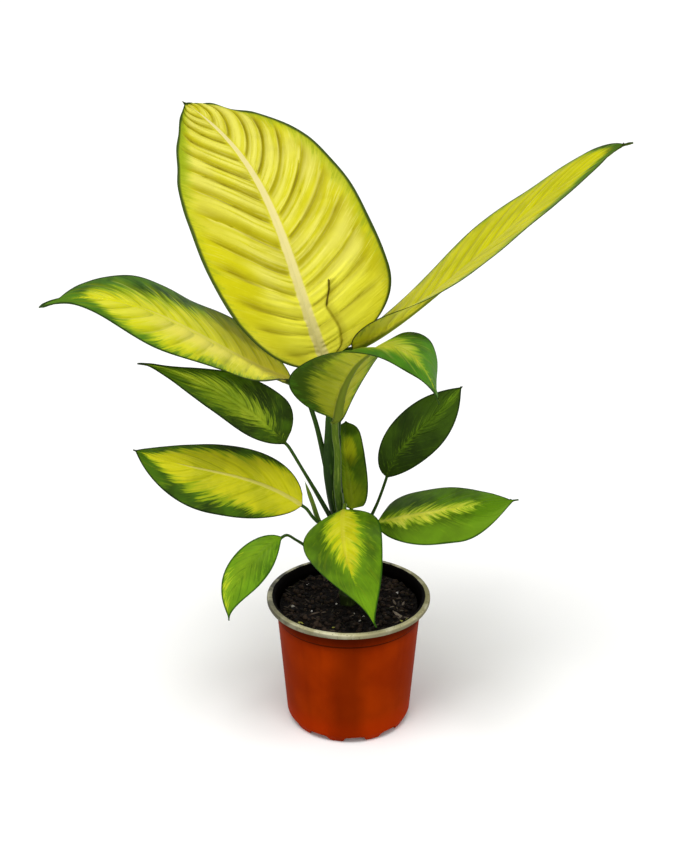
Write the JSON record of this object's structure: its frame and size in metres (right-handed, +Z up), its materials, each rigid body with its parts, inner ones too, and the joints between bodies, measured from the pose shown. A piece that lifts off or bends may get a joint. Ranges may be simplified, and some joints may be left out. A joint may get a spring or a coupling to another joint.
{
  "type": "potted dieffenbachia",
  "caption": "Leafy house plant with yellow and green variegated blades on upright petioles, standing in soil in a tapered nursery pot with a rolled rim and notched foot.",
  "frame": {"origin": "centre of the pot's underside, on the pot's axis", "axes": "+Z up along the pot's axis; -Y towards the viewer of the picture; +X to the viewer's right"},
  "size_m": [0.3844, 0.1956, 0.4402],
  "materials": {
    "pot_plastic": "satin",
    "soil": "matte",
    "stem": "satin",
    "leaf_yellow": "satin",
    "leaf_variegated": "satin",
    "leaf_green": "satin"
  },
  "bodies": {
    "root": {"pot": "pot_plastic", "soil": "soil", "stem": "stem", "leaf_01": "leaf_yellow", "leaf_02": "leaf_yellow", "leaf_03": "leaf_variegated", "leaf_04": "leaf_yellow", "leaf_05": "leaf_green", "leaf_06": "leaf_variegated", "leaf_07": "leaf_variegated", "leaf_08": "leaf_variegated", "leaf_09": "leaf_variegated", "leaf_10": "leaf_green", "leaf_11": "leaf_variegated"}
  },
  "joints": []
}
